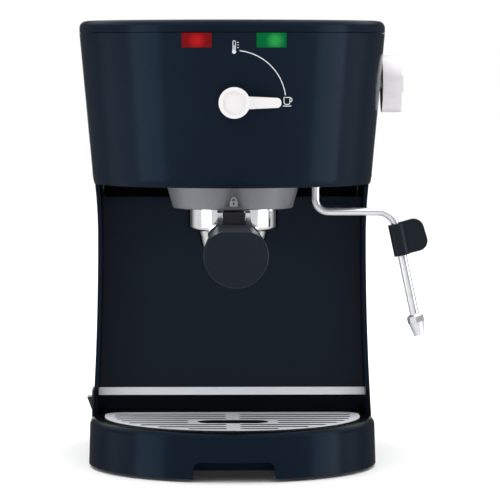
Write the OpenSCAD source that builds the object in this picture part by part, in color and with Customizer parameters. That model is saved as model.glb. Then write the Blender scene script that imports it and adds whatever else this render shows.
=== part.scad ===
// Espresso machine with a D-shaped plan: round front, straight sides, flat back.
// Millimetres. The brew axis stands at X = 0, Y = 0; +Y is the back, +X the right side,
// and Z = 0 is the counter that the rubber feet stand on.

/* [Overall] */
// Height from the counter to the top cover
body_height = 285; // [276:1:345]
// Depth from the front of the head to the back
body_depth = 250; // [244:1:300]
// Half width of the head just under the top cover
head_half = 97.6; // [95:0.1:101]
// Half width of the column at its waist
waist_half = 86.4; // [85:0.1:88]
// Distance of the round front's centre behind the brew axis
plan_back = 32; // [30:1:34]

/* [Head] */
// Height of the head with its top cover
head_tall = 103.4; // [98:0.1:120]
// Thickness of the top cover at its edge
cover_tall = 8; // [6:0.5:10]
// Radius of the top cover's rounded edge
cover_round = 4.5; // [2:0.5:5]
// Wall of the plastic shells
wall = 2.8; // [2.2:0.1:3]
// Width of each indicator lens
lens_wide = 18.3; // [12:0.1:24]
// Height of each indicator lens
lens_tall = 9.1; // [7:0.1:10]
// Distance of the lens centres from the middle
lens_side = 22.9; // [18:0.1:30]
// Reach of the selector lever from its axis
lever_reach = 28.5; // [20:0.5:30]
// Diameter of the steam knob
knob_wide = 36.4; // [30:0.1:40]

/* [Brewing] */
// Outer radius of the portafilter bowl
bowl_r = 29.4; // [28.6:0.1:29.8]
// Radius of the handle at its outer end
handle_r = 19.2; // [17:0.1:21]
// Distance of the handle's end in front of the brew axis
handle_reach = 154; // [130:1:185]
// Distance between the two coffee outlets
outlet_gap = 27.7; // [24:0.1:34]
// Outer radius of the steam pipe
pipe_r = 2.45; // [2.2:0.05:2.8]

/* [Base] */
// Outer radius of the drip tray's front at its foot
tray_r = 92.2; // [91:0.1:95]
// Height of the drip tray's rim
tray_tall = 31.3; // [29:0.1:34]
// Radius of the steel grid's round front
grid_r = 82; // [79:0.1:82.2]
// Width of the slots in the grid
slot_wide = 4.6; // [4.2:0.1:5]
// Distance between two rows of slots
slot_pitch = 11; // [9.5:0.1:12]
// Half width of the finger notch under the tray's front
notch_half = 25.2; // [20:0.1:30]
// Depth of the water tank from front to back
tank_deep = 62; // [50:1:66]

/* [Hidden] */
$fn = 64;
gap = 0.4;
head_z = body_height - head_tall;
back = body_depth - 65;
seam = head_tall - cover_tall;
crease = 6.9;
lip_half = 88.4;
crease_half = 89.5;
splash_y = 57;
splash_t = 2.5;
strip_z = 42.6;
strip_tall = 5;
side_front = 42;
tank_front = back - tank_deep;
tank_half = 80;
tank_z = 45.5;
tank_rim = seam - 5;
deck_z = 41.5;
deck_t = 2.5;
plate_z = 1.2;
plate_top = 5.2;
seat_y = tank_front + 25;
collar_low = -14.3;
bowl_in = bowl_r - 3.4;
basket_r = bowl_in - 0.4;
rim_in = bowl_in - 1.7;
screen_r = rim_in - 0.7;
collar_in = 34.6;
handle_z = -35.4;
knob_z = 63.1;
knob_y = 60;
dial_z = 52.7;
wand_x = 52.2;
run_z = -17;
bend_r = 12;
lean = 12;
hinge_r = wall + 0.1;
hinge_y = back - hinge_r;
hinge_z = seam + gap + hinge_r;
hinge_x = 50;
pin_r = 1.2;
pump_x = -30;
pump_y = 91;
rocker_y = 110;
rocker_z = 28;
rocker_x = -88;
screw_x = 70;
screw_r = 1.4;
screw_long = 12;
screw_head_r = 3;
screw_head_tall = 2.4;
gland = [60, 22];
waist_z = head_z - 33.6;
flare_foot = 41;

// Colours
navy = [0.09, 0.12, 0.17];
panel = [0.05, 0.07, 0.10];
black = [0.06, 0.06, 0.07];
white = [0.92, 0.91, 0.92];
steel = [0.72, 0.73, 0.76];
satin = [0.50, 0.51, 0.54];
brass = [0.78, 0.62, 0.32];
smoke = [0.25, 0.28, 0.32, 0.6];
rubber = [0.15, 0.15, 0.16];

// ---------- Shared shapes ----------

// Half width of the column at a height: it narrows to a waist and flares to the foot
function side(z) = z < waist_z ? waist_half + 3.1 * pow((waist_z - z) / (waist_z - flare_foot), 2)
    : waist_half + 1.5 * pow((z - waist_z) / 30, 2);

// Half width of the head at a height above its bottom edge
function head_side(z) = z < crease ? lip_half + (crease_half - lip_half) * sin(90 * max(z, 0) / crease)
    : crease_half + (head_half - crease_half) * (z - crease) / (seam - crease);

// One corner of a convex outline, rounded
function corner(a, b, c, r, n = 5) =
    let (u = (a - b) / norm(a - b), v = (c - b) / norm(c - b), w = (u + v) / norm(u + v),
        half = acos(u * v) / 2, m = b + w * r / sin(half), p = b + u * r / tan(half),
        q = b + v * r / tan(half), s = atan2(p[1] - m[1], p[0] - m[0]),
        e = atan2(q[1] - m[1], q[0] - m[0]),
        t = e - s > 180 ? e - s - 360 : e - s < -180 ? e - s + 360 : e - s)
    [for (i = [0:n]) m + r * [cos(s + t * i / n), sin(s + t * i / n)]];

// A convex outline with every corner rounded
function rounded(pts, r) = let (k = len(pts))
    [for (i = [0:k - 1]) each corner(pts[(i + k - 1) % k], pts[i], pts[(i + 1) % k], r)];

// Sweeps a half outline (offset, height) round the front and straight back to y
module d_sweep(y) {
    translate([0, plan_back, 0]) rotate([0, 0, 180]) rotate_extrude(angle = 180, $fn = 128)
        children();
    for (s = [0, 1]) mirror([s, 0, 0])
        translate([0, y, 0]) rotate([90, 0, 0]) linear_extrude(y - plan_back) children();
}

// A solid with the machine's plan: radius r, from z0 to z1, back to y
module d_solid(r, z0, z1, y) {
    d_sweep(y) translate([0, z0]) square([r, z1 - z0]);
}

// A cylinder along +X, +Y or a free direction
module rod_x(r, x0, x1) { translate([x0, 0, 0]) rotate([0, 90, 0]) cylinder(r = r, h = x1 - x0); }
module rod_y(r, y0, y1) { translate([0, y0, 0]) rotate([-90, 0, 0]) cylinder(r = r, h = y1 - y0); }
module rod(a, b, r) {
    d = b - a;
    translate(a) rotate([0, acos(d[2] / norm(d)), atan2(d[1], d[0])]) cylinder(r = r, h = norm(d), $fn = 24);
}

// A hose through points, with a slightly thicker knuckle at each bend
module hose(pts, r) {
    for (i = [0:len(pts) - 2]) rod(pts[i], pts[i + 1], r);
    for (i = [1:len(pts) - 2]) translate(pts[i]) sphere(r = r * 1.12, $fn = 24);
}

// A box from its low to its high corner
module block(a, b) { translate(a) cube(b - a); }

// ---------- Base and column ----------

foot_at = [[-52, -8], [52, -8], [-68, back - 24], [68, back - 24]];
post_at = [[-screw_x, splash_y + 16], [screw_x, splash_y + 16],
    [-screw_x + 12, tank_front + 8], [screw_x - 12, tank_front + 8]];

module base_plate() color(black) difference() {
    union() {
        d_solid(tray_r - 5.2, plate_z, plate_top, side_front + 4);
        block([-side(0) + 3.4, side_front + 4, plate_z], [side(0) - 3.4, back - wall - gap, plate_top]);
    }
    block([-notch_half - 3.4, -99, 0], [notch_half + 3.4, -38, 9]);
    for (p = foot_at) translate([p[0], p[1], 0]) {
        cylinder(d = 9, h = 9);
        cylinder(r = 8.3, h = 3.2);
    }
    for (p = post_at) translate([p[0], p[1], 0]) {
        cylinder(r = screw_r + 0.3, h = 9);
        translate([0, 0, plate_z - 1]) cylinder(r = screw_head_r + 0.6, h = screw_head_tall + 1.35);
    }
}

module rubber_feet() color(rubber) for (p = foot_at) translate([p[0], p[1], 0]) {
    cylinder(r1 = 7.2, r2 = 8, h = 0.8);
    translate([0, 0, 0.8]) cylinder(r = 8, h = 2.4);
    translate([0, 0, 3.1]) cylinder(d = 8.96, h = plate_top - 3.1);
}

// A hexagon-socket cap screw, its tip at the origin and its head up
module cap_screw() difference() {
    union() {
        cylinder(r = screw_r, h = screw_long + 0.1);
        translate([0, 0, screw_long]) cylinder(r = screw_head_r, h = screw_head_tall);
    }
    translate([0, 0, screw_long + 0.8]) cylinder(r = 1.4, h = screw_head_tall, $fn = 6);
}

// Ten identical screws: four under the base plate and six round the boiler flange
module cap_screws() color(steel) {
    for (p = post_at) translate([p[0], p[1], plate_z + 0.3 + screw_head_tall + screw_long])
        mirror([0, 0, 1]) cap_screw();
    for (a = [30:60:330]) translate([0, boiler_y, head_z + 56 - screw_long]) rotate([0, 0, a])
        translate([38.5, 0, 0]) cap_screw();
}

// Outline of one side wall, seen from the front
module side_outline(thick, z0, z1, inset = 0) {
    steps = 18;
    polygon(concat(
        [for (i = [0:steps]) let (z = z0 + (z1 - z0) * i / steps) [side(z) - inset, z]],
        [for (i = [steps:-1:0]) let (z = z0 + (z1 - z0) * i / steps) [side(z) - inset - thick, z]]));
}

// The space between the side walls, as a sheet standing at y
module between(y, t, z0, z1) {
    steps = 18;
    translate([0, y + t, 0]) rotate([90, 0, 0]) linear_extrude(t) polygon(concat(
        [for (i = [0:steps]) let (z = z0 + (z1 - z0) * i / steps) [side(z) - wall - 0.05, z]],
        [for (i = [steps:-1:0]) let (z = z0 + (z1 - z0) * i / steps) [-side(z) + wall + 0.05, z]]));
}

module column_shell() color(navy) difference() {
    union() {
        for (s = [0, 1]) mirror([s, 0, 0]) translate([0, back, 0]) rotate([90, 0, 0])
            linear_extrude(back - side_front) side_outline(wall, 2, head_z);
        block([-side(22) + 0.8, back - wall, 2], [side(22) - 0.8, back, 22]);
        block([-side(44) + 0.8, back - wall, 22], [side(44) - 0.8, back, deck_z + deck_t]);
        block([-side(22) + 0.8, splash_y, plate_top + gap], [side(22) - 0.8, splash_y + wall, 22]);
        block([-side(44) + 0.8, splash_y, 22], [side(44) - 0.8, splash_y + wall, strip_z]);
    }
    translate([0, rocker_y, rocker_z]) block([-99, -8.9, -11.9], [-70, 8.9, 11.9]);
    translate([gland[0], 0, gland[1]]) rod_y(6.05, back - 9, back + 1);
}

module base_deck() color(black) {
    difference() {
        block([-side(deck_z + deck_t) + wall + 0.1, splash_y + max(wall, splash_t) + 0.1, deck_z],
            [side(deck_z + deck_t) - wall - 0.1, back - wall - 0.1, deck_z + deck_t]);
        translate([0, seat_y, 0]) cylinder(r = 13, h = 60);
        translate([pump_x + 30, pump_y, 0]) cylinder(r = 6, h = 60);
    }
    for (p = post_at) translate([p[0], p[1], plate_top]) difference() {
        cylinder(r = 4.5, h = deck_z - plate_top + 0.5);
        translate([0, 0, -1]) cylinder(r = screw_r, h = screw_long + 2);
    }
}

module splash_panel() color(panel) between(splash_y, splash_t, strip_z + strip_tall, head_z - 9.8);

module trim_strip() color(steel) between(splash_y - 1.2, splash_t + 1.2, strip_z, strip_z + strip_tall);

module bulkhead() color(black) {
    translate([0, tank_front - 4, 0]) {
        between(0, 2.2, deck_z + deck_t, head_z);
        translate([0, 2.2, head_z]) rotate([90, 0, 0]) linear_extrude(2.2) polygon([
            [lip_half - wall - 0.05, 0], [crease_half - wall - 0.05, crease],
            [head_half - wall - 0.4, seam - 2.3], [head_half - wall - 2.5, seam - 2.3],
            [head_half - wall - 2.5, head_tall - wall - 0.1],
            [-head_half + wall + 2.5, head_tall - wall - 0.1],
            [-head_half + wall + 2.5, seam - 2.3], [-head_half + wall + 0.4, seam - 2.3],
            [-crease_half + wall + 0.05, crease], [-lip_half + wall + 0.05, 0]]);
    }
}

module rocker_housing() color(black) translate([0, rocker_y, rocker_z]) difference() {
    union() {
        difference() {
            block([-side(rocker_z) - 2, -10.5, -13.4], [-side(rocker_z) + 2, 10.5, 13.4]);
            translate([0, 15, -rocker_z]) mirror([1, 0, 0]) rotate([90, 0, 0]) linear_extrude(30)
                side_outline(9, 2, head_z);
        }
        block([-side(rocker_z) - 1, -8.8, -11.8], [-78, 8.8, 11.8]);
    }
    block([-99, -7, -10.6], [rocker_x + 6.4, 7, 10.6]);
    translate([rocker_x, 0, 0]) rod_y(1.55, -8.2, 8.2);
}

module cord_gland() color(rubber) translate([gland[0], 0, gland[1]]) difference() {
    union() {
        rod_y(6, back - 8, back);
        rod_y(8.5, back, back + 2);
        rod_y(8.5, back - wall - 2, back - wall);
    }
    rod_y(3.4, back - 9, back + 3);
}

module tank_receptacle() color(black) translate([0, seat_y, 0]) difference() {
    union() {
        translate([0, 0, deck_z + deck_t]) cylinder(r = 16, h = 1.2);
        translate([0, 0, deck_z - 9]) cylinder(r = 12.9, h = 9 + deck_t + 1.2);
        rod([0, 0, deck_z - 5], [0, -20, deck_z - 5], 3);
    }
    translate([0, 0, deck_z - 6.5]) cylinder(r = 10, h = 20);
    rod([0, 0, deck_z - 5], [0, -21, deck_z - 5], 1.2);
}

module receptacle_seal() color(rubber) translate([0, seat_y, deck_z - 1]) difference() {
    cylinder(r = 9.98, h = 4);
    translate([0, 0, -1]) cylinder(r = 8.05, h = 6);
}

// ---------- Head ----------

module lens_box(s, grow) {
    block([s * lens_side - lens_wide / 2 - grow, -90, seam - lens_tall - grow],
        [s * lens_side + lens_wide / 2 + grow, -30, seam + 5]);
}

module head_shell() color(navy) translate([0, 0, head_z]) difference() {
    d_sweep(back) polygon(concat(
        [for (i = [0:6]) let (z = crease * i / 6) [head_side(z), z]],
        [[head_half, seam], [head_half - wall, seam]],
        [[crease_half - wall, crease], [lip_half - wall, 0]]));
    for (s = [-1, 1]) lens_box(s, 0.1);
    translate([0, 0, dial_z]) rod_y(6.3, -80, -40);
    translate([0, knob_y, knob_z]) rod_x(5, 80, 110);
}

module lens(s) translate([0, 0, head_z]) intersection() {
    d_sweep(plan_back + 1) polygon([[head_side(seam - lens_tall), seam - lens_tall], [head_half, seam - 0.1],
        [head_half - 2.4, seam - 0.1], [head_side(seam - lens_tall) - 2.4, seam - lens_tall]]);
    lens_box(s, 0);
}

module lens_red() color([0.7, 0.1, 0.12]) lens(-1);
module lens_green() color([0.05, 0.5, 0.3]) lens(1);

module head_underside() color(black) translate([0, 0, head_z]) difference() {
    d_solid(lip_half - wall - 0.3, 2.4, 5.2, splash_y - 1);
    cylinder(r = 37.9, h = 20, center = true);
    translate([wand_x, 0, 0]) cylinder(r = 6.5, h = 20, center = true);
}

module top_cover() color(navy) translate([0, 0, head_z]) {
    d_sweep(tank_front - 1.2) cover_outline();
    for (s = [-1, 1]) translate([s * 30, -50, seam - 1.4]) cylinder(r = 3, h = cover_tall - 1);
}

// Half section of the top cover, with the lip that locates it inside the head
module cover_outline() {
    top = head_tall;
    polygon(concat([[0, top]],
        [for (i = [0:8]) [head_half - cover_round * (1 - sin(90 * i / 8)),
            top - cover_round * (1 - cos(90 * i / 8))]],
        [[head_half, seam + gap], [head_half - wall - 0.3, seam + gap], [head_half - wall - 0.5, seam - 2],
            [head_half - wall - 2.2, seam - 2], [head_half - wall - 2.2, top - wall], [0, top - wall]]));
}

module lamp_board() color([0.1, 0.35, 0.2]) translate([0, 0, head_z])
    block([-36, -52.6, seam - 3], [36, -44, seam - 1.45]);

module lamps() color(white) translate([0, 0, head_z]) for (s = [-1, 1])
    translate([s * lens_side, -51, seam - 5.7]) {
        rod_y(2.5, -7, 0);
        block([-1.5, -2, 0], [1.5, 0, 2.7]);
    }

module selector_switch() color(black) translate([0, 0, head_z + dial_z]) difference() {
    union() {
        block([-14, -56, -14], [14, -42, 14]);
        rod_y(6, -64, -55.9);
    }
    rod_y(3.05, -70, -44);
}

module selector_knob() color(white) translate([0, 0, head_z + dial_z]) {
    difference() {
        union() {
            rod_y(9.55, -77, -66.4);
            translate([0, -66.4, 0]) rotate([90, 0, 0]) linear_extrude(9.2)
                polygon(concat([[0, -4.2]], corner([0, -4.2], [lever_reach, -2.9], [lever_reach, 2.9], 2.6),
                    corner([lever_reach, -2.9], [lever_reach, 2.9], [0, 4.2], 2.6), [[0, 4.2]]));
        }
        rod_y(7.1, -78, -76.1);
    }
    rod_y(3, -66.5, -44.4);
}

module steam_knob() color([0.87, 0.86, 0.88]) translate([0, knob_y, head_z + knob_z]) difference() {
    union() {
        translate([97.2, 0, 0]) rotate([0, 90, 0])
            cylinder(r1 = knob_wide / 2 + 0.3, r2 = knob_wide / 2, h = 12.4);
        translate([109.5, 0, 0]) rotate([0, 90, 0])
            cylinder(r1 = knob_wide / 2, r2 = knob_wide / 2 - 0.8, h = 0.8);
        difference() {
            block([97.2, -knob_wide / 2 - 1.3, -5.4], [110.3, knob_wide / 2 + 1.3, 5.4]);
            for (s = [-1, 1]) translate([0, 0, s * 5.4]) rotate([45, 0, 0])
                block([97, -knob_wide / 2 - 1.3, -1], [111, knob_wide / 2 + 1.3, 1]);
        }
    }
    rod_x(knob_wide / 2 - 2.4, 97, 100);
    for (s = [0, 1]) mirror([0, 0, s]) block([105.5, -11.5, 6.6], [112, 11.5, 11.6]);
    rod_x(3, 97, 107);
}

module valve_spindle() color(brass) translate([0, knob_y, head_z + knob_z]) difference() {
    rod_x(2.98, 66, 106.9);
    rod_x(1.55, 65, 72.6);
}

module valve_needle() color(steel) translate([0, knob_y, head_z + knob_z]) {
    rod_x(1.5, 61.6, 70);
    translate([59.2, 0, 0]) rotate([0, 90, 0]) cylinder(r1 = 0.4, r2 = 1.5, h = 2.5);
}

module steam_valve() color(brass) translate([0, knob_y, head_z + knob_z]) difference() {
    union() {
        block([50, -9, -10], [72, 9, 10]);
        rod_x(7, 71.9, 84);
        translate([0, 0, 10]) block([50, -6, -0.1], [60, 6, 3]);
    }
    rod_x(3.03, 65, 85);
    rod_x(1.8, 57.5, 66);
    translate([56, 0, -11]) cylinder(r = 1.2, h = 12);
    translate([53, 0, 0]) rod_y(1.2, -10, 0);
}

// ---------- Brewing group ----------

lug_at = [30, 150, 270];

module brew_collar() color(satin) translate([0, 0, head_z]) difference() {
    rotate_extrude($fn = 96) polygon([[bowl_r + 0.6, collar_low], [37.1, collar_low],
        [37.8, collar_low + 0.6], [41.9, 0.4], [41.9, 2.4], [collar_in, 2.4], [collar_in, -10.9],
        [bowl_r + 0.6, -10.9]]);
    for (a = lug_at) rotate([0, 0, a + 31 - 60]) rotate_extrude(angle = 36)
        translate([bowl_r - 1.4, collar_low - 1]) square([collar_in - bowl_r + 1.4, 5]);
}

module group_head() color(satin) translate([0, 0, head_z]) difference() {
    union() {
        translate([0, 0, 2.4]) cylinder(r = 37.6, h = 17.6);
        translate([0, 0, -2.5]) cylinder(r = rim_in, h = 5);
    }
    translate([0, 0, -3]) cylinder(r = 2.5, h = 12);
    for (a = [45:90:315]) rotate([0, 0, a]) translate([14, 0, -4]) cylinder(r = 1.2, h = 30);
}

module group_gasket() color(rubber) translate([0, 0, head_z - 3.3]) difference() {
    cylinder(r = bowl_r + 2, h = 5.7);
    translate([0, 0, -1]) cylinder(r = rim_in + 0.05, h = 8);
}

module shower_screen() color(steel) translate([0, 0, head_z - 3.5]) difference() {
    cylinder(r = screen_r, h = 1);
    translate([0, 0, -1]) cylinder(r = 2.6, h = 3);
    for (r = screen_r * [0.34, 0.55, 0.763], a = [0:360 / round(r * 1.1):359]) rotate([0, 0, a])
        translate([r, 0, -1]) cylinder(r = 0.8, h = 3, $fn = 16);
}

module screen_screw() color(steel) translate([0, 0, head_z]) difference() {
    union() {
        translate([0, 0, -5.5]) cylinder(r = 4.4, h = 2);
        translate([0, 0, -3.6]) cylinder(r = 2.48, h = 11);
    }
    translate([0, 0, -6]) cylinder(r = 1.5, h = 1.6, $fn = 6);
}

boiler_y = 9;

module boiler() color(satin) translate([0, 0, head_z + 20]) difference() {
    union() {
        translate([0, boiler_y, 0]) cylinder(r = 36, h = 32);
        translate([0, boiler_y, 28]) cylinder(r = 42, h = 4);
    }
    translate([0, boiler_y, 4]) cylinder(r = 31, h = 30);
    for (a = [45:90:315]) rotate([0, 0, a]) translate([14, 0, -1]) cylinder(r = 1.2, h = 7);
    for (a = [30:60:330]) translate([0, boiler_y, 0]) rotate([0, 0, a]) translate([38.5, 0, 26])
        cylinder(r = screw_r + 0.1, h = 9);
}

module boiler_lid() color(satin) translate([0, boiler_y, head_z + 52]) difference() {
    union() {
        cylinder(r = 42, h = 4);
        translate([0, 0, 3.9]) cylinder(r = 31, h = 6);
        translate([20, 20, 9]) cylinder(r = 4, h = 5);
        translate([-20, 14, 9]) cylinder(r = 4, h = 5);
    }
    translate([0, 0, -1]) cylinder(r = 27, h = 7);
    translate([20, 20, 0]) cylinder(r = 1.2, h = 20);
    translate([-20, 14, 0]) cylinder(r = 1.2, h = 20);
    for (a = [30:60:330]) rotate([0, 0, a]) translate([38.5, 0, -1])
        cylinder(r = screw_r + 0.4, h = 9);
}

module thermostats() color(black) translate([0, boiler_y, head_z + 61.9])
    for (p = [[-8, -18], [12, -14], [0, 6]]) translate([p[0], p[1], 0]) {
        cylinder(r = 7.5, h = 5);
        block([-5, -1, 4.9], [-2, 1, 11]);
        block([2, -1, 4.9], [5, 1, 11]);
    }

module wand_seat() color(brass) translate([wand_x, 0, head_z]) difference() {
    union() {
        translate([0, 0, 5.2]) cylinder(r = 9, h = 7);
        translate([0, 0, 2.4]) cylinder(r = 6.4, h = 3);
        translate([0, 0, 8.6]) rod_y(2.8, 0, 13);
    }
    translate([0, 0, 0]) cylinder(r = 4.04, h = 20);
    translate([0, 0, 8.6]) rod_y(1.2, 4, 14);
}

module steam_hose() color([0.85, 0.84, 0.8]) translate([0, 0, head_z]) {
    hose([[wand_x, 13, 8.6], [wand_x, 24, 8.6], [56, knob_y - 4, 20], [56, knob_y, 34],
        [56, knob_y, knob_z - 10]], 2);
    hose([[20, boiler_y + 20, 66], [20, boiler_y + 20, 74], [53, knob_y - 20, 74],
        [53, knob_y - 20, knob_z], [53, knob_y - 9, knob_z]], 2);
}

module pressure_hose() color([0.85, 0.84, 0.8]) hose([[pump_x, pump_y, 162],
    [pump_x, pump_y, 172], [pump_x, pump_y - 12, head_z + 30], [-20, boiler_y + 50, head_z + 74],
    [-20, boiler_y + 14, head_z + 74], [-20, boiler_y + 14, head_z + 66]], 2.2);

module suction_hose() color([0.8, 0.82, 0.82]) hose([[0, seat_y - 20, deck_z - 5],
    [0, pump_y, deck_z - 5], [0, pump_y, 52], [pump_x, pump_y, 52], [pump_x, pump_y, 60]], 2.4);

module pump_barrel() color(black) translate([pump_x, pump_y, 0]) difference() {
    union() {
        translate([0, 0, 60]) cylinder(r = 4, h = 12);
        translate([0, 0, 70]) cylinder(r = 9.5, h = 78);
        translate([0, 0, 146]) cylinder(r = 13, h = 8);
        translate([0, 0, 152]) cylinder(r = 4, h = 10);
    }
    translate([0, 0, 59]) cylinder(r = 1.5, h = 110);
    translate([0, 0, 74]) cylinder(r = 6.05, h = 66);
}

module pump_piston() color(steel) translate([pump_x, pump_y, 86]) difference() {
    cylinder(r = 6, h = 40);
    translate([0, 0, -1]) cylinder(r = 1.5, h = 42);
}

module pump_coil() color([0.75, 0.12, 0.1]) translate([pump_x, pump_y, 88]) difference() {
    union() {
        cylinder(r = 18, h = 36);
        block([-20, -16, -3], [20, 16, 0.1]);
        block([-20, -16, 35.9], [20, 16, 39]);
    }
    translate([0, 0, -4]) cylinder(r = 9.52, h = 46);
}

module pump_bracket() color(steel) translate([pump_x, pump_y, 0]) difference() {
    block([-24, -19, deck_z + deck_t], [24, 19, 153]);
    block([-22.8, -20, deck_z + deck_t + 1.2], [22.8, 20, 134.8]);
    block([-30, -20, 136], [30, 20, 200]);
    block([18, -3.4, deck_z], [26, 3.4, 56]);
    translate([0, 0, 100]) cylinder(r = 14.1, h = 60);
}

module pump_mounts() color(rubber) translate([pump_x, pump_y, 132.6]) difference() {
    union() {
        cylinder(r = 14, h = 5.4);
        translate([0, 0, 3.4]) cylinder(r = 17, h = 2);
    }
    translate([0, 0, -1]) cylinder(r = 9.52, h = 8);
}

// ---------- Steam wand ----------

// The bent pipe, drawn for a radius so that its bore can be cut with the same path
module wand_path(r) {
    turn = 90 - lean;
    dir = [sin(lean), -cos(lean)];
    knee = [101.2 - wand_x, run_z];
    leg = bend_r * tan(turn / 2);
    run_x = knee[0] - leg;
    low = knee + dir * leg;
    translate([0, 0, run_z + 8]) cylinder(r = r, h = 6 - run_z);
    translate([8, 0, run_z + 8]) rotate([90, 0, 0]) rotate_extrude(angle = 90, start = 180)
        translate([8, 0]) circle(r = r, $fn = 32);
    translate([0, 0, run_z]) rod_x(r, 8, run_x);
    translate([run_x, 0, run_z - bend_r]) rotate([90, 0, 0])
        rotate_extrude(angle = turn, start = 90 - turn) translate([bend_r, 0]) circle(r = r, $fn = 32);
    translate([low[0], 0, low[1]]) rotate([0, 180 - lean, 0]) cylinder(r = r, h = 62);
}

// Places children at a point down the straight leg, with +Z running down the pipe
module on_leg(t) {
    leg = bend_r * tan((90 - lean) / 2);
    translate([101.2 + sin(lean) * (leg + t), 0, head_z + run_z - cos(lean) * (leg + t)])
        rotate([0, 180 - lean, 0]) children();
}

module wand_pipe() color(steel) translate([wand_x, 0, head_z]) difference() {
    union() {
        wand_path(pipe_r);
        translate([0, 0, -1.5]) cylinder(r = 4, h = 15.5);
    }
    translate([0, 0, run_z + 8]) cylinder(r = 1.2, h = 22 - run_z);
    translate([0, 0, 8.6]) rod_y(1.2, 0, 6);
}

module wand_clip() color(steel) translate([wand_x, 0, head_z + 12.5]) difference() {
    cylinder(r = 6.4, h = 1);
    translate([0, 0, -1]) cylinder(r = 4.02, h = 3);
}

module wand_grip() color(navy) difference() {
    union() {
        on_leg(-1.7) cylinder(r = 5, h = 20.2);
        translate([0, 2.4, head_z]) rotate([90, 0, 0]) linear_extrude(4.8) translate([0, -181.6])
            polygon(concat([[104.2, 157.6]],
                corner([104.2, 157.6], [118.6, 161.7], [124.7, 141.6], 6.5, 8),
                corner([118.6, 161.7], [124.7, 141.6], [108.6, 137.6], 6.5, 8), [[108.6, 137.6]]));
    }
    on_leg(-8) cylinder(r = pipe_r + 0.02, h = 50);
    translate([wand_x, 0, head_z]) wand_bend_clear();
}

// Room for the pipe's bend where the grip reaches over it
module wand_bend_clear() {
    turn = 90 - lean;
    run_x = 101.2 - wand_x - bend_r * tan(turn / 2);
    translate([run_x, 0, run_z - bend_r]) rotate([90, 0, 0])
        rotate_extrude(angle = turn, start = 90 - turn) translate([bend_r, 0])
            circle(r = pipe_r + 0.5, $fn = 32);
}

module wand_sleeve() color(steel) on_leg(18.6) difference() {
    cylinder(r = pipe_r + 0.4, h = 39.4);
    translate([0, 0, -1]) cylinder(r = pipe_r + 0.02, h = 42);
}

module wand_nozzle() color(steel) on_leg(57.9) difference() {
    union() {
        cylinder(r = 5.3, h = 4, $fn = 8);
        translate([0, 0, 3.9]) cylinder(r1 = 4.9, r2 = 3, h = 8.6);
        translate([0, 0, -1.2]) cylinder(r1 = 3.6, r2 = 4.7, h = 1.3);
    }
    translate([0, 0, -2]) cylinder(r = pipe_r + 0.42, h = 2.2);
    translate([0, 0, 0.1]) cylinder(r = pipe_r + 0.02, h = 5);
    cylinder(r = 0.8, h = 20);
}

// ---------- Portafilter ----------

module portafilter_bowl() color(steel) translate([0, 0, head_z]) difference() {
    union() {
        rotate_extrude($fn = 96) polygon(concat([[0, -39], [9, -39], [12, -38.6]],
            [[bowl_r - 8.4, -38.2], [bowl_r - 6, -28.9]],
            [for (i = [0:6]) [bowl_r - 3 + 3 * sin(15 * i), -25.3 - 3 * cos(15 * i)]],
            [[bowl_r, -4.42], [0, -4.42]]));
        for (a = lug_at) rotate([0, 0, a - 15 - 15]) rotate_extrude(angle = 30)
            translate([bowl_r - 1, -10.5]) square([4.9, 3.2]);
        neck();
    }
    rotate_extrude($fn = 96) polygon([[0, -35], [bowl_in - 8, -35], [bowl_in, -25.8], [bowl_in, -3],
        [0, -3]]);
    translate([0, 0, -45]) cylinder(r = 3.5, h = 20);
    block([-7.1, -70, -23.2], [7.1, -41, -10]);
    translate([0, -46, -18.8]) rod_x(1.5, -12, 12);
}

// The cast neck between bowl and handle: two cheeks over a flared rib
module neck() {
    translate([0, -12, 0]) rotate([90, 0, 0]) linear_extrude(51) polygon([[-9, -41.4], [9, -41.4],
        [14, -38], [16.2, -28], [14.6, -25], [11.6, -22.6], [10.4, -20.2], [10.2, -14.8], [-10.2, -14.8],
        [-10.4, -20.2], [-11.6, -22.6], [-14.6, -25], [-16.2, -28], [-14, -38]]);
    translate([0, -58, handle_z]) rod_y(12.5, -8, -1);
}

module filter_basket() color(steel) translate([0, 0, head_z]) difference() {
    rotate_extrude($fn = 96) polygon([[0, -25.2], [basket_r - 1, -25.2], [basket_r, -24],
        [basket_r, -4.4], [bowl_r - 1.4, -4.4], [bowl_r - 1.4, -3.65], [basket_r - 0.6, -3.65],
        [basket_r - 0.6, -23.8], [basket_r - 1.2, -24.6], [0, -24.6]]);
    for (r = [0, 6, 12, 18], a = [0:360 / max(1, round(r)):359]) rotate([0, 0, a])
        translate([r, 0, -26]) cylinder(r = 0.5, h = 3, $fn = 16);
}

module spout() color(black) translate([0, 0, head_z]) difference() {
    union() {
        translate([0, 0, -45]) cylinder(r = 9, h = 6);
        for (s = [-1, 1]) {
            rod([0, 0, -43], [s * outlet_gap / 2, 0, -46.5], 3.7);
            translate([s * outlet_gap / 2, 0, -46.5]) sphere(r = 3.95, $fn = 32);
            translate([s * outlet_gap / 2, 0, -51.2]) cylinder(r = 3.7, h = 4.7);
        }
    }
    translate([0, 0, -44]) cylinder(r = 3.5, h = 6);
    for (s = [-1, 1]) {
        rod([0, 0, -42.6], [s * outlet_gap / 2, 0, -46.1], 2);
        translate([s * outlet_gap / 2, 0, -52]) cylinder(r = 2.2, h = 6);
    }
}

module handle() color(navy) translate([0, 0, head_z + handle_z]) difference() {
    intersection() {
        rotate([90, 0, 0]) rotate_extrude($fn = 96) polygon([[0, 66.1], [12, 66.1], [15.4, 67],
            [16.3, 68.4], [17.2, 100], [handle_r - 0.7, 125], [handle_r, handle_reach - 2.6],
            [0, handle_reach - 2.6]]);
        handle_top();
    }
    rod_y(4, -90, -66);
}

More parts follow.
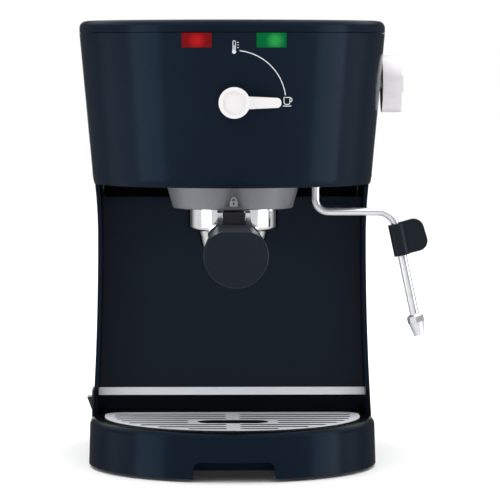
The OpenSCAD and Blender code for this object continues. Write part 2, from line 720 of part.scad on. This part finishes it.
module handle_cap() color(black) translate([0, 0, head_z + handle_z]) intersection() {
    rotate([90, 0, 0]) rotate_extrude($fn = 96) polygon([[0, handle_reach - 2.55],
        [handle_r, handle_reach - 2.55], [handle_r, handle_reach - 0.7], [handle_r - 0.7, handle_reach],
        [0, handle_reach]]);
    handle_top();
}

// The handle's cross-section limit: a flat top that rolls over into the round sides
module handle_top() {
    flat = 13.8;
    half = 6;
    r = (handle_r * handle_r - half * half - flat * flat) / (2 * (handle_r - flat));
    translate([0, -60, 0]) rotate([90, 0, 0]) linear_extrude(handle_reach) polygon(concat(
        [for (i = [0:10]) [half + r * sin(8 * i), flat - r + r * cos(8 * i)]],
        [[30, 0], [30, -30], [-30, -30], [-30, 0]],
        [for (i = [10:-1:0]) [-half - r * sin(8 * i), flat - r + r * cos(8 * i)]]));
}

module basket_tab() color(black) translate([0, -46, head_z - 18.8]) difference() {
    union() {
        block([-6.7, -16, -2.6], [6.7, 0, 1.7]);
        rod_x(2.7, -6.7, 6.7);
        block([-6.7, -16, -2.6], [6.7, -11.5, 4]);
        block([-3.5, 0, -1.5], [3.5, 3.4, 1]);
    }
    rod_x(1.55, -9, 9);
}

module tab_pin() color(steel) translate([0, -46, head_z - 18.8]) rod_x(1.49, -10.2, 10.2);

// ---------- Drip tray ----------

module drip_tray() color(navy) difference() {
    union() {
        d_sweep(splash_y - 0.5) tray_outline();
        block([-grid_r - 0.5, splash_y - 2.1, 5.6], [grid_r + 0.5, splash_y - 0.5, tray_tall - 0.3]);
        block([-79, splash_y - 5, 27], [79, splash_y - 2, tray_tall - 1.7]);
        intersection() {
            d_solid(tray_r - 2, 5.6, 15, plan_back + 1);
            block([-notch_half - 2.2, -70, 5.6], [notch_half + 2.2, -38.7, 14.8]);
        }
    }
    for (s = [0, 1]) mirror([s, 0, 0]) block([side(tray_tall) - wall - 0.6, side_front - 0.5, 0],
        [99, splash_y + 1, 50]);
    translate([0, -41, 0]) rotate([90, 0, 0]) linear_extrude(40) polygon(concat([[-notch_half, -1]],
        corner([-notch_half, -1], [-notch_half, 12.6], [0, 12.6], 4.5),
        corner([0, 12.6], [notch_half, 12.6], [notch_half, -1], 4.5), [[notch_half, -1]]));
}

// Half section of the tray: skirt, flat margin, ledge for the grid and basin
module tray_outline() {
    r = 4.5;
    polygon(concat([[0, 5.6], [grid_r - 1, 5.6], [grid_r - 1, tray_tall - 5.3], [grid_r + 2, tray_tall - 2.8],
        [tray_r - 4, tray_tall - 2.8], [tray_r - 2.6, tray_tall - 5], [tray_r - 2.3, 2], [tray_r, 2]],
        [for (i = [0:8]) [tray_r - 0.7 - r * (1 - cos(90 * i / 8)), tray_tall - r * (1 - sin(90 * i / 8))]],
        [[grid_r + 1.4, tray_tall - 0.3], [grid_r + 0.4, tray_tall - 0.6], [grid_r + 0.4, tray_tall - 1.7],
            [grid_r - 3, tray_tall - 1.7], [grid_r - 3, 7.8], [0, 7.8]]));
}

// A slot with round ends between x0 and x1
module slot(x0, x1, y, w) {
    a = min(x0, x1) + w / 2;
    b = max(x0, x1) - w / 2;
    translate([a, y - w / 2]) square([b - a, w]);
    for (x = [a, b]) translate([x, y]) circle(d = w, $fn = 24);
}

// One row of slots: each end stops short of the grid's edge, with a bridge in the middle
module slot_row(y, bridge) {
    reach = y < plan_back ? sqrt(pow(grid_r - 6, 2) - pow(y - plan_back, 2)) : grid_r - 6;
    for (s = [-1, 1]) slot(s * bridge, s * reach, y, slot_wide);
}

module drip_grid() color(steel) translate([0, 0, tray_tall - 1.4]) difference() {
    linear_extrude(1.5) grid_plan();
    linear_extrude(4, center = true) {
        for (row = [-3.5, -2.5, -1.5, 1.5, 2.5, 3.5]) slot_row(row * slot_pitch, 4);
        for (row = [-0.5, 0.5]) slot_row(row * slot_pitch, 28);
        slot(-22.5, 22.5, 0, 18);
    }
}

module grid_plan() {
    square_back = splash_y - 2.4;
    intersection() {
        translate([0, plan_back]) circle(r = grid_r, $fn = 128);
        translate([-grid_r, plan_back - grid_r]) square([2 * grid_r, grid_r]);
    }
    polygon(concat([[-grid_r, plan_back]],
        corner([-grid_r, plan_back], [-grid_r, square_back], [0, square_back], 12, 8),
        corner([0, square_back], [grid_r, square_back], [grid_r, plan_back], 12, 8), [[grid_r, plan_back]]));
}

// ---------- Water tank ----------

module water_tank() color(smoke) {
    difference() {
        tank_block(0, tank_z, head_z + tank_rim);
        tank_block(2.4, tank_z + 2.4, head_z + tank_rim + 5);
        translate([0, seat_y, 0]) cylinder(r = 4, h = 60);
    }
    translate([0, seat_y, tank_z - 9]) difference() {
        cylinder(r = 8, h = 9.1);
        translate([0, 0, -1]) cylinder(r = 4, h = 12);
    }
    for (s = [-1, 1]) translate([s * hinge_x, hinge_y, head_z + hinge_z]) difference() {
        union() {
            rod_x(pin_r + 1, -3, 3);
            block([-3, -pin_r - 1, tank_rim - hinge_z - 8], [3, pin_r + 1, 0]);
        }
        rod_x(pin_r + 0.06, -4, 4);
    }
}

module tank_block(inset, z0, z1) translate([0, 0, z0]) linear_extrude(z1 - z0) {
    half = tank_half - inset;
    front = tank_front + inset;
    rear = back - inset;
    polygon(concat(corner([-half, rear], [-half, front], [0, front], 6),
        corner([0, front], [half, front], [half, rear], 6),
        corner([half, front], [half, rear], [0, rear], 18 - inset, 8),
        corner([0, rear], [-half, rear], [-half, front], 18 - inset, 8)));
}

module tank_valve() color(white) translate([0, seat_y, tank_z - 7]) {
    cylinder(r = 1.5, h = 14);
    translate([0, 0, 9.4]) cylinder(r = 6.5, h = 2.4);
}

module tank_lid() color(navy) translate([0, 0, head_z]) {
    difference() {
        translate([0, back, 0]) rotate([90, 0, 0]) linear_extrude(tank_deep + 0.8) for (s = [0, 1])
            mirror([s, 0]) difference() {
                cover_outline();
                translate([0, seam - 5]) square([200, 5 + gap]);
            }
        block([-20, tank_front - 3, head_tall - 1.2], [20, tank_front + 12, head_tall + 1]);
        block([-head_half + wall + 2, back - 12, 0], [head_half - wall - 2, back - wall, head_tall - wall]);
        lid_rear_cut();
    }
    difference() {
        block([-head_half + 3, back - wall, seam + gap], [head_half - 3, back, head_tall - 2]);
        lid_rear_cut();
    }
    for (s = [0, 1]) mirror([s, 0, 0]) translate([hinge_x, hinge_y, hinge_z]) {
        rod_x(pin_r, -5.5, 5.5);
        for (x = [-6.4, 3.4]) {
            block([x, -hinge_r + 0.3, 0], [x + 3, hinge_r - 0.3, cover_tall - gap - hinge_r - 1]);
            rod_x(hinge_r - 0.3, x, x + 3);
        }
    }
}

// Rounds the lid's lower rear edge about the hinge, and leaves a slot round each ear of the tank
module lid_rear_cut() {
    translate([-120, 0, 0]) rotate([90, 0, 90]) linear_extrude(240) polygon(concat(
        [[hinge_y, seam - 1], [back + 1, seam - 1], [back + 1, hinge_z]],
        [for (i = [0:6]) [hinge_y + hinge_r * cos(15 * i), hinge_z - hinge_r * sin(15 * i)]]));
    for (s = [-1, 1]) translate([s * hinge_x, hinge_y, hinge_z])
        block([-3.4, -hinge_r - 1, -hinge_r - 1], [3.4, hinge_r + 1, pin_r + 1.4]);
}

module rocker() color(black) translate([rocker_x, rocker_y, rocker_z]) rotate([0, -9, 0]) {
    rotate([90, 0, 0]) linear_extrude(13.4, center = true)
        polygon([[-6.4, 9.3], [-4.6, 0], [-6.4, -9.3], [-1, -9.3], [3.2, -3.4], [3.2, 3.4], [-1, 9.3]]);
    rod_y(1.5, -8.1, 8.1);
}

// ---------- Assembly ----------

base_plate();
rubber_feet();
column_shell();
base_deck();
cap_screws();
splash_panel();
trim_strip();
bulkhead();
head_shell();
head_underside();
top_cover();
lens_red();
lens_green();
lamp_board();
lamps();
selector_switch();
brew_collar();
group_head();
group_gasket();
shower_screen();
screen_screw();
boiler();
boiler_lid();
thermostats();
steam_valve();
wand_seat();
steam_hose();
pressure_hose();
suction_hose();
pump_barrel();
pump_piston();
pump_coil();
pump_bracket();
pump_mounts();
tank_receptacle();
receptacle_seal();
rocker_housing();
cord_gland();
selector_knob();
steam_knob();
valve_spindle();
valve_needle();
wand_pipe();
wand_clip();
wand_grip();
wand_sleeve();
wand_nozzle();
portafilter_bowl();
filter_basket();
spout();
handle();
handle_cap();
basket_tab();
tab_pin();
drip_tray();
drip_grid();
water_tank();
tank_valve();
tank_lid();
rocker();
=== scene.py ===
import math
import bpy
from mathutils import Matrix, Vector


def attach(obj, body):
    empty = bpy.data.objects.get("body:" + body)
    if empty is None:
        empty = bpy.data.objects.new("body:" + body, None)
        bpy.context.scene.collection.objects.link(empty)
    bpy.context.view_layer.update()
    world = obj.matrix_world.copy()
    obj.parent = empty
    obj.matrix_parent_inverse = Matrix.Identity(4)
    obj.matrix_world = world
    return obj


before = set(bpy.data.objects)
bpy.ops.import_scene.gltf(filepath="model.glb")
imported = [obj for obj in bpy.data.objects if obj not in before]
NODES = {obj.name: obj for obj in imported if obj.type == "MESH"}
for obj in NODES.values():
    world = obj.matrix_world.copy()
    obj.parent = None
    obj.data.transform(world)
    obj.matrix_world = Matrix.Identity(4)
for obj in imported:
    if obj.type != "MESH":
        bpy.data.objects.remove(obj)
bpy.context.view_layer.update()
MM = 0.001
scene = bpy.context.scene


# ---------- Materials ----------

def set_range(node, start, end, low, high):
    for key, value in (("From Min", start), ("From Max", end), ("To Min", low), ("To Max", high)):
        node.inputs[key].default_value = value


class Tree:
    """A node material that starts from one Principled shader, in object coordinates (metres)."""

    def __init__(self, name, color, rough, metal=0.0, **sockets):
        self.mat = bpy.data.materials.new(name)
        self.mat.use_nodes = True
        self.nt = self.mat.node_tree
        self.nt.nodes.clear()
        self.out = self.add("ShaderNodeOutputMaterial")
        self.bsdf = self.add("ShaderNodeBsdfPrincipled")
        self.link(self.bsdf.outputs[0], self.out.inputs[0])
        self.set("Base Color", (*color, 1.0))
        self.set("Roughness", rough)
        self.set("Metallic", metal)
        for key, value in sockets.items():
            self.set(key.replace("_", " "), value)
        self.coord = self.add("ShaderNodeTexCoord").outputs["Object"]

    def add(self, kind, **props):
        n = self.nt.nodes.new(kind)
        for key, value in props.items():
            setattr(n, key, value)
        return n

    def link(self, a, b):
        self.nt.links.new(a, b)

    def set(self, socket, value):
        self.bsdf.inputs[socket].default_value = value

    def stretched(self, scale):
        m = self.add("ShaderNodeMapping")
        m.inputs["Scale"].default_value = scale
        self.link(self.coord, m.inputs["Vector"])
        return m.outputs[0]

    def noise(self, scale, detail=3.0, vector=None):
        n = self.add("ShaderNodeTexNoise")
        n.inputs["Scale"].default_value = scale
        n.inputs["Detail"].default_value = detail
        self.link(vector or self.coord, n.inputs["Vector"])
        return n.outputs["Fac"]

    def ranged(self, value, low, high, start=0.3, end=0.7):
        m = self.add("ShaderNodeMapRange")
        set_range(m, start, end, low, high)
        self.link(value, m.inputs["Value"])
        return m.outputs[0]

    def rough(self, value, low, high, start=0.3, end=0.7):
        self.link(self.ranged(value, low, high, start, end), self.bsdf.inputs["Roughness"])
        return self

    def bump(self, value, depth, strength=0.5):
        b = self.add("ShaderNodeBump")
        b.inputs["Strength"].default_value = strength
        b.inputs["Distance"].default_value = depth
        self.link(value, b.inputs["Height"])
        self.link(b.outputs[0], self.bsdf.inputs["Normal"])
        return self

    def tint(self, value, first, second, start=0.3, end=0.7):
        r = self.add("ShaderNodeValToRGB")
        r.color_ramp.elements[0].position, r.color_ramp.elements[1].position = start, end
        r.color_ramp.elements[0].color = (*first, 1.0)
        r.color_ramp.elements[1].color = (*second, 1.0)
        self.link(value, r.inputs[0])
        self.link(r.outputs[0], self.bsdf.inputs["Base Color"])
        return self

    def shade(self, mask, low, high):
        """Base colour that goes from low to high as the mask goes from 0 to 1."""
        m = self.add("ShaderNodeMixRGB")
        m.inputs[1].default_value, m.inputs[2].default_value = (*low, 1), (*high, 1)
        self.link(mask, m.inputs[0])
        self.link(m.outputs[0], self.bsdf.inputs["Base Color"])

    def part_of(self, vector, axis):
        s = self.add("ShaderNodeSeparateXYZ")
        self.link(vector, s.inputs[0])
        return s.outputs[axis]

    def facing(self, axis="Z", start=0.6, end=0.8):
        """A mask from 0 to 1, as the normal's part along the axis goes from start to end."""
        normal = self.add("ShaderNodeNewGeometry").outputs["Normal"]
        return self.ranged(self.part_of(normal, axis), 0.0, 1.0, start, end)


def plastic(name, color, rough, grain=1400.0, depth=0.00002, wear=0.06, **sockets):
    """Moulded plastic: a fine grain, slight polish differences and a hint of uneven colour."""
    t = Tree(name, color, rough, 0.0, **sockets)
    t.rough(t.noise(28.0, 4.0), rough - wear, rough + wear)
    t.bump(t.noise(grain, 2.0), depth, 0.35)
    pale = tuple(min(1.0, c * 1.12 + 0.0006) for c in color)
    return t.tint(t.noise(9.0, 2.0), color, pale)


def metal(name, color, rough, stretch=(1, 1, 1), scale=400.0, depth=0.000006, spread=0.05):
    """Metal with fine marks that run along the directions with a small stretch."""
    t = Tree(name, color, rough, 1.0)
    lines = t.noise(scale, 3.0, t.stretched(stretch))
    t.rough(lines, max(0.02, rough - spread), rough + spread)
    t.bump(lines, depth, 0.4)
    dark = tuple(c * 0.9 for c in color)
    return t.tint(lines, dark, color)


NAVY = (0.0060, 0.0102, 0.0172)
# Near-black painted onto faces that lie in shade, on the tray and on the column
PAINTED_SHADE_BLACK = (0.0030, 0.0032, 0.0040)
STEEL = (0.90, 0.92, 0.97)
# Dark painted onto the grid's slot walls, for the shade inside the slots
PAINTED_SLOT_SHADE = (0.008, 0.008, 0.010)
STRIP_LOW = 0.047       # the silver strip's lower edge (m)


def body_plastic(name):
    """The shell's navy plastic, with a weak blue gloss."""
    return plastic(name, NAVY, 0.18, wear=0.03, Specular_IOR_Level=0.055,
                   Specular_Tint=(0.30, 0.60, 1.0, 1.0))


M = {
    "navy": body_plastic("navy_shell"),
    "gloss": plastic("splash_gloss", (0.0068, 0.0115, 0.0195), 0.12, grain=500.0,
                     depth=0.000004, wear=0.02, Specular_IOR_Level=0.07),
    "black": plastic("black_plastic", (0.010, 0.010, 0.012), 0.42, depth=0.00004),
    "rocker": plastic("rocker_gloss", (0.008, 0.008, 0.009), 0.14, wear=0.03),
    "handle": plastic("handle_satin", (0.0085, 0.0125, 0.0180), 0.34, grain=1800.0,
                      depth=0.00003, Specular_IOR_Level=0.11),
    "white": plastic("white_gloss", (0.73, 0.71, 0.72), 0.22, grain=600.0, depth=0.000005,
                     wear=0.03),
    "knob": plastic("knob_grey", (0.79, 0.77, 0.80), 0.28, grain=800.0, depth=0.00001,
                    wear=0.03),
    "lamp": plastic("lamp_white", (0.80, 0.79, 0.72), 0.20),
    "board": plastic("board_green", (0.02, 0.11, 0.045), 0.35),
    "chrome": metal("chrome", (0.80, 0.81, 0.83), 0.07, scale=250.0, depth=0.000002, spread=0.03),
    "pipe": metal("pipe_chrome", (0.86, 0.87, 0.89), 0.17, scale=250.0, depth=0.000002,
                  spread=0.03),
    "strip": metal("brushed_strip", (0.95, 0.97, 1.0), 0.42, (0.02, 1, 1.6), 2600.0, 0.00001),
    "grid": metal("grid_steel", STEEL, 0.50, (0.04, 1.2, 1), 1700.0, 0.000004),
    "collar": metal("collar_steel", (0.23, 0.24, 0.265), 0.40, (1.5, 1.5, 0.03), 1500.0, 0.00001),
    "stainless": metal("stainless", (0.60, 0.61, 0.63), 0.25, (1, 1, 0.2), 900.0),
    "cast": metal("cast_alloy", (0.50, 0.50, 0.52), 0.48, (1, 1, 1), 700.0, 0.00006, 0.10),
    "brass": metal("brass", (0.62, 0.44, 0.16), 0.27, (1, 0.1, 0.1), 1500.0),
    "hose": plastic("hose_white", (0.66, 0.66, 0.60), 0.40, Subsurface_Weight=0.2,
                    Subsurface_Radius=(0.002, 0.002, 0.002)),
    "smoke": plastic("tank_smoke", (0.16, 0.19, 0.23), 0.12, grain=300.0, depth=0.00002,
                     wear=0.04, Transmission_Weight=0.72, IOR=1.2),
    "rubber": plastic("black_rubber", (0.012, 0.012, 0.013), 0.72, depth=0.00006),
    "coil": plastic("coil_red", (0.30, 0.02, 0.015), 0.40, depth=0.00006),
    "bakelite": plastic("bakelite", (0.02, 0.016, 0.014), 0.35),
    "ink": plastic("white_ink", (0.62, 0.64, 0.66), 0.50, grain=2600.0),
}


def tray_material():
    """Navy skirt, with painted shade: the faces that look up are painted near-black."""
    t = body_plastic("navy_tray")
    t.shade(t.facing(), NAVY, PAINTED_SHADE_BLACK)
    return t


def column_material():
    """Navy shell, with painted shade: near-black on the low front wall between the silver strip
    and the tray.
    """
    t = body_plastic("navy_column")
    painted_shade_mask = t.add("ShaderNodeMath", operation="MULTIPLY")
    t.link(t.facing("Y", -0.9, -0.98), painted_shade_mask.inputs[0])
    height = t.part_of(t.coord, "Z")
    t.link(t.ranged(height, 0.0, 1.0, STRIP_LOW + 0.0005, STRIP_LOW), painted_shade_mask.inputs[1])
    t.shade(painted_shade_mask.outputs[0], NAVY, PAINTED_SHADE_BLACK)
    return t


LENS_DIM = 0.82                         # the darker patches' share of the lens colour
SPOT_NEAR, SPOT_FAR = 0.0016, 0.0062    # where the lamp's spot starts and stops fading (m)


def lens_material(name, color, glow, spot, spot_color):
    """A lit lens: an even glow with fine ribs, and a brighter spot where the lamp is."""
    t = Tree(name, color, 0.14, 0.0, Specular_IOR_Level=0.03)
    t.bump(t.noise(260.0, 2.0), 0.00006, 0.5)
    uneven = t.add("ShaderNodeValToRGB")
    uneven.color_ramp.elements[0].color = (*[c * LENS_DIM for c in color], 1)
    uneven.color_ramp.elements[1].color = (*color, 1)
    t.link(t.noise(60.0, 2.0), uneven.inputs[0])
    distance = t.add("ShaderNodeVectorMath", operation="DISTANCE")
    distance.inputs[1].default_value = spot
    t.link(t.coord, distance.inputs[0])
    mix = t.add("ShaderNodeMixRGB")
    mix.inputs[2].default_value = (*spot_color, 1)
    t.link(t.ranged(distance.outputs["Value"], 1.0, 0.0, SPOT_NEAR, SPOT_FAR), mix.inputs[0])
    t.link(uneven.outputs[0], mix.inputs[1])
    t.link(mix.outputs[0], t.bsdf.inputs["Base Color"])
    t.link(mix.outputs[0], t.bsdf.inputs["Emission Color"])
    t.set("Emission Strength", glow)
    return t


# Brushed and thin-plated metals look paler than polished ones
for key, share in (("collar", 0.55), ("pipe", 0.7), ("grid", 0.5), ("strip", 0.25)):
    M[key].set("Metallic", share)
# Painted shade: the slots' own walls are painted dark between the brushed bars
M["grid"].shade(M["grid"].facing("Z", 0.5, 0.9), PAINTED_SLOT_SHADE, STEEL)
M["tray"] = tray_material()
M["column"] = column_material()
# Where the lamps shine through the lenses (m)
RED_LAMP, GREEN_LAMP = (-0.0225, -0.0615, 0.2722), (0.0250, -0.0615, 0.2722)
M["red"] = lens_material("lens_red", (0.13, 0.0035, 0.005), 0.36,
                         RED_LAMP, (0.28, 0.007, 0.009))
M["green"] = lens_material("lens_green", (0.0003, 0.088, 0.024), 0.38,
                           GREEN_LAMP, (0.015, 0.20, 0.046))

FINISH = {
    "column": ["column_shell"],
    "navy": ["head_shell", "top_cover", "tank_lid"],
    "tray": ["drip_tray"],
    "gloss": ["splash_panel"],
    "black": ["base_plate", "base_deck", "bulkhead", "head_underside", "tank_receptacle",
              "selector_switch", "rocker_housing", "pump_barrel", "spout", "basket_tab"],
    "rocker": ["rocker"],
    "handle": ["handle", "handle_cap", "wand_grip"],
    "white": ["selector_knob", "tank_valve"],
    "knob": ["steam_knob"],
    "red": ["lens_red"],
    "green": ["lens_green"],
    "lamp": ["lamps"],
    "board": ["lamp_board"],
    "chrome": ["portafilter_bowl", "tab_pin"],
    "pipe": ["wand_pipe", "wand_sleeve", "wand_nozzle", "wand_clip"],
    "strip": ["trim_strip"],
    "grid": ["drip_grid"],
    "collar": ["brew_collar"],
    "stainless": ["filter_basket", "shower_screen", "screen_screw", "cap_screws",
                  "valve_needle", "valve_spindle", "pump_piston", "pump_bracket"],
    "cast": ["group_head", "boiler", "boiler_lid"],
    "brass": ["steam_valve", "wand_seat"],
    "hose": ["steam_hose", "pressure_hose", "suction_hose"],
    "rubber": ["rubber_feet", "group_gasket", "receptacle_seal", "pump_mounts", "cord_gland"],
    "coil": ["pump_coil"],
    "bakelite": ["thermostats"],
    "smoke": ["water_tank"],
}

WELD_WITHIN = 0.000004
# Folds sharper than these are bevelled, or kept as edges
BEVEL_FROM, SPLIT_FROM = math.radians(40), math.radians(28)


def smooth(obj, bevel=0.0):
    """Smooth shading that keeps real edges, with a small bevel where one is asked for."""
    for p in obj.data.polygons:
        p.use_smooth = True
    obj.modifiers.new("weld", "WELD").merge_threshold = WELD_WITHIN
    if bevel:
        b = obj.modifiers.new("bevel", "BEVEL")
        b.width, b.segments, b.limit_method = bevel, 2, "ANGLE"
        b.angle_limit = BEVEL_FROM
        b.harden_normals = False
    obj.modifiers.new("edges", "EDGE_SPLIT").split_angle = SPLIT_FROM
    obj.modifiers.new("normals", "WEIGHTED_NORMAL").keep_sharp = True


# Bevel widths of the edges that catch the light (m)
BEVELS = {"column_shell": 0.0005, "top_cover": 0.0003, "tank_lid": 0.0003, "drip_tray": 0.0005,
          "splash_panel": 0.0003, "trim_strip": 0.0003, "selector_knob": 0.0005,
          "steam_knob": 0.0006, "wand_grip": 0.0006, "rocker": 0.0003, "basket_tab": 0.0003}

for key, names in FINISH.items():
    for name in names:
        o = NODES[name]
        o.data.materials.clear()
        o.data.materials.append(M[key].mat)
        smooth(o, BEVELS.get(name, 0.0))


# ---------- Shared mesh helpers ----------

def mesh_object(name, verts, faces, material, body):
    """A piece with its vertices in millimetres, which rides on a body."""
    me = bpy.data.meshes.new(name)
    me.from_pydata([Vector(v) * MM for v in verts], [], faces)
    me.validate()
    me.update()
    o = bpy.data.objects.new(name, me)
    scene.collection.objects.link(o)
    me.materials.append(M[material].mat)
    for p in me.polygons:
        p.use_smooth = True
    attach(o, body)


def stroke(points, width):
    """A flat ribbon along points in the X-Z plane: vertices (x, z) and quads."""
    pts = [Vector(p) for p in points]
    last = len(pts) - 1
    verts = []
    for i, p in enumerate(pts):
        along = (pts[min(i + 1, last)] - pts[max(i - 1, 0)]).normalized()
        side = Vector((-along.y, along.x)) * width / 2
        verts += [p + side, p - side]
    return verts, [(2 * i, 2 * i + 1, 2 * i + 3, 2 * i + 2) for i in range(last)]


def arc(cx, cz, r, start, end, steps=24):
    """Points on a circle from one angle to another, in degrees."""
    turns = [math.radians(start + (end - start) * i / steps) for i in range(steps + 1)]
    return [(cx + r * math.cos(a), cz + r * math.sin(a)) for a in turns]


def line(a, b, steps=6):
    """Evenly spaced points from a to b, so a mark follows the round front."""
    return [(a[0] + (b[0] - a[0]) * i / steps, a[1] + (b[1] - a[1]) * i / steps)
            for i in range(steps + 1)]


def disc(cx, cz, r, steps=20):
    """A filled circle: its centre, its ring and triangles."""
    ring = arc(cx, cz, r, 0, 360 - 360 / steps, steps - 1)
    return [Vector((cx, cz))] + [Vector(p) for p in ring], \
        [(0, i + 1, (i + 1) % steps + 1) for i in range(steps)]


def printed(name, shapes, surface, body, lift=0.10, material="ink"):
    """Thin printed marks laid on a surface y = surface(x, z)."""
    verts, faces = [], []
    for vs, fs in shapes:
        k = len(verts)
        verts += [(v.x, surface(v.x, v.y) - lift, v.y) for v in map(Vector, vs)]
        faces += [tuple(i + k for i in f) for f in fs]
    mesh_object(name, verts, faces, material, body)


# ---------- Marks on the head and collar (millimetres) ----------

HEAD_CENTRE_Y = 32
HEAD_CONE = ((188.5, 89.5), (277.0, 97.6))      # (height, radius) at the low and high end
COLLAR_CONE = ((167.9, 37.8), (182.0, 41.9))


def cone_radius(cone, z):
    (z_low, r_low), (z_high, r_high) = cone
    return r_low + (r_high - r_low) * (z - z_low) / (z_high - z_low)


def head_front(x, z):
    """The y of the head's round front at x and z."""
    return HEAD_CENTRE_Y - math.sqrt(cone_radius(HEAD_CONE, z) ** 2 - x * x)


def collar_front(x, z):
    return -math.sqrt(cone_radius(COLLAR_CONE, z) ** 2 - x * x)


DIAL_Z, DIAL_ARC_R = 234.3, 31.8
BULB_Z, TUBE_TOP = 265.3, 271.3
CUP_TOP, CUP_TURN, SAUCER_Z = 237.4, 234.2, 232.1
LOCK_Z, SHACKLE_Z, SHACKLE_R = 171.25, 173.7, 1.45

printed("dial_arc", [stroke(arc(0, DIAL_Z, DIAL_ARC_R, 84, 8, 48), 0.55)], head_front, "machine")
printed("thermometer_mark", [
    disc(0, BULB_Z, 1.25),
    stroke(line((-0.75, BULB_Z + 0.9), (-0.75, TUBE_TOP)) + arc(0, TUBE_TOP, 0.75, 180, 0, 10)
           + line((0.75, TUBE_TOP), (0.75, BULB_Z + 0.9)), 0.42),
    stroke(line((0, BULB_Z + 0.5), (0, BULB_Z + 3.9)), 0.55)]
    + [stroke(line((1.7, z), (2.9, z), 2), 0.38) for z in (267.8, 269.4, 271.0)],
    head_front, "machine")
printed("cup_mark", [
    stroke(line((30.6, CUP_TOP), (30.7, CUP_TURN), 3) + arc(31.8, CUP_TURN, 1.1, 180, 270, 5)
           + arc(33.2, CUP_TURN, 1.1, 270, 360, 5)
           + line((34.3, CUP_TURN), (34.4, CUP_TOP), 3), 0.5),
    stroke(line((30.4, CUP_TOP), (34.6, CUP_TOP), 4), 0.45),
    stroke(arc(34.5, CUP_TOP - 1.5, 1.15, 90, -90, 10), 0.45),
    stroke(line((30.0, SAUCER_Z), (35.2, SAUCER_Z), 4), 0.5)], head_front, "machine")
printed("padlock_mark", [
    stroke(line((-2.4, LOCK_Z), (2.4, LOCK_Z), 8), 3.4),
    stroke(line((-SHACKLE_R, SHACKLE_Z - 1), (-SHACKLE_R, SHACKLE_Z), 2)
           + arc(0, SHACKLE_Z, SHACKLE_R, 180, 0, 12)
           + line((SHACKLE_R, SHACKLE_Z), (SHACKLE_R, SHACKLE_Z - 1), 2), 0.65)],
    collar_front, "machine", 0.12)
printed("padlock_keyhole", [disc(0, 171.6, 0.55), stroke(line((0, 171.6), (0, 170.3), 2), 0.5)],
        collar_front, "machine", 0.18, "black")


# ---------- Stage, light and camera ----------

def staged(name, finish):
    """Names the object just added and gives it a finish."""
    o = bpy.context.active_object
    o.name = name
    o.data.materials.append(finish.mat)
    return o


# Reflections look past the floor at the lower half of the world, which is dark behind the
# machine, as beside black flags, and pale in front of it
bpy.ops.mesh.primitive_plane_add(size=1, location=(0, 6, 0))
bpy.context.active_object.scale = (16, 18, 1)
floor = staged("floor", Tree("floor_finish", (0.99, 0.99, 0.99), 0.6))
floor.visible_glossy = False

# A plain white wall all round, for views from the sides and back. It neither lights nor reflects.
WALL_R, WALL_TALL = 7.5, 6
bpy.ops.mesh.primitive_cylinder_add(vertices=96, radius=WALL_R, depth=WALL_TALL,
                                    end_fill_type="NOTHING", location=(0, 0, WALL_TALL / 2))
wall_finish = Tree("wall_finish", (0, 0, 0), 1.0, Specular_IOR_Level=0.0, Emission_Strength=1.0)
wall_finish.set("Emission Color", (1, 1, 1, 1))
wall = staged("wall", wall_finish)
wall.visible_diffuse = wall.visible_glossy = False
wall.visible_transmission = wall.visible_shadow = False


def softbox(name, place, aim, size, power):
    data = bpy.data.lights.new(name, "AREA")
    data.shape = "RECTANGLE"
    data.size, data.size_y = size
    data.energy = power
    o = bpy.data.objects.new(name, data)
    o.location = place
    o.rotation_euler = (Vector(aim) - Vector(place)).to_track_quat("-Z", "Y").to_euler()
    scene.collection.objects.link(o)


softbox("left_softbox", (-1.6, -0.60, 0.30), (0, 0, 0.15), (0.8, 1.3), 12.5)
softbox("right_softbox", (1.6, -0.30, 0.30), (0, 0, 0.15), (0.8, 1.3), 11.5)
softbox("top_softbox", (0, 0.2, 2.4), (0, 0, 0), (2.6, 2.6), 36)

world = bpy.data.worlds.new("studio")
scene.world = world
world.use_nodes = True
world_nodes, world_links = world.node_tree.nodes, world.node_tree.links
world_nodes.clear()
background = world_nodes.new("ShaderNodeBackground")
background.inputs["Color"].default_value = (1, 1, 1, 1)
direction = world_nodes.new("ShaderNodeSeparateXYZ")
world_links.new(world_nodes.new("ShaderNodeTexCoord").outputs["Generated"], direction.inputs[0])


def world_range(axis, start, end, low, high):
    """Brightness that goes from low to high as the direction's part along the axis changes."""
    n = world_nodes.new("ShaderNodeMapRange")
    n.interpolation_type = "SMOOTHSTEP"
    set_range(n, start, end, low, high)
    world_links.new(direction.outputs[axis], n.inputs["Value"])
    return n.outputs[0]


def world_math(operation, first, second):
    n = world_nodes.new("ShaderNodeMath")
    n.operation = operation
    world_links.new(first, n.inputs[0])
    world_links.new(second, n.inputs[1])
    return n.outputs[0]


# White behind the machine and overhead, dark to the sides, and pale below in front
behind = world_range("Y", 0.975, 0.992, 0.0, 1.02)
overhead = world_range("Z", 0.22, 0.55, 0.0, 1.35)
surroundings = world_range("Y", -0.3, 0.4, 0.035, 0.09)
below_in_front = world_math("MULTIPLY", world_range("Z", 0.0, -0.05, 0.0, 0.85),
                            world_range("Y", 0.65, 0.25, 0.0, 1.0))
brightness = behind
for part in (overhead, surroundings, below_in_front):
    brightness = world_math("MAXIMUM", brightness, part)
world_links.new(brightness, background.inputs["Strength"])
world_links.new(background.outputs[0], world_nodes.new("ShaderNodeOutputWorld").inputs[0])

# A long lens about 2 m in front, a little left of the middle, looking slightly down
cam_data = bpy.data.cameras.new("camera")
cam_data.lens = 229.5
cam_data.sensor_width = 36
cam_data.dof.use_dof = False
cam = bpy.data.objects.new("camera", cam_data)
cam.location = (-0.025, -2.010, 0.262)
cam.rotation_euler = (math.radians(90 - 3.462), 0, math.radians(-1.021))
scene.collection.objects.link(cam)
scene.camera = cam
scene.view_settings.view_transform = "Standard"
scene.view_settings.look = "None"
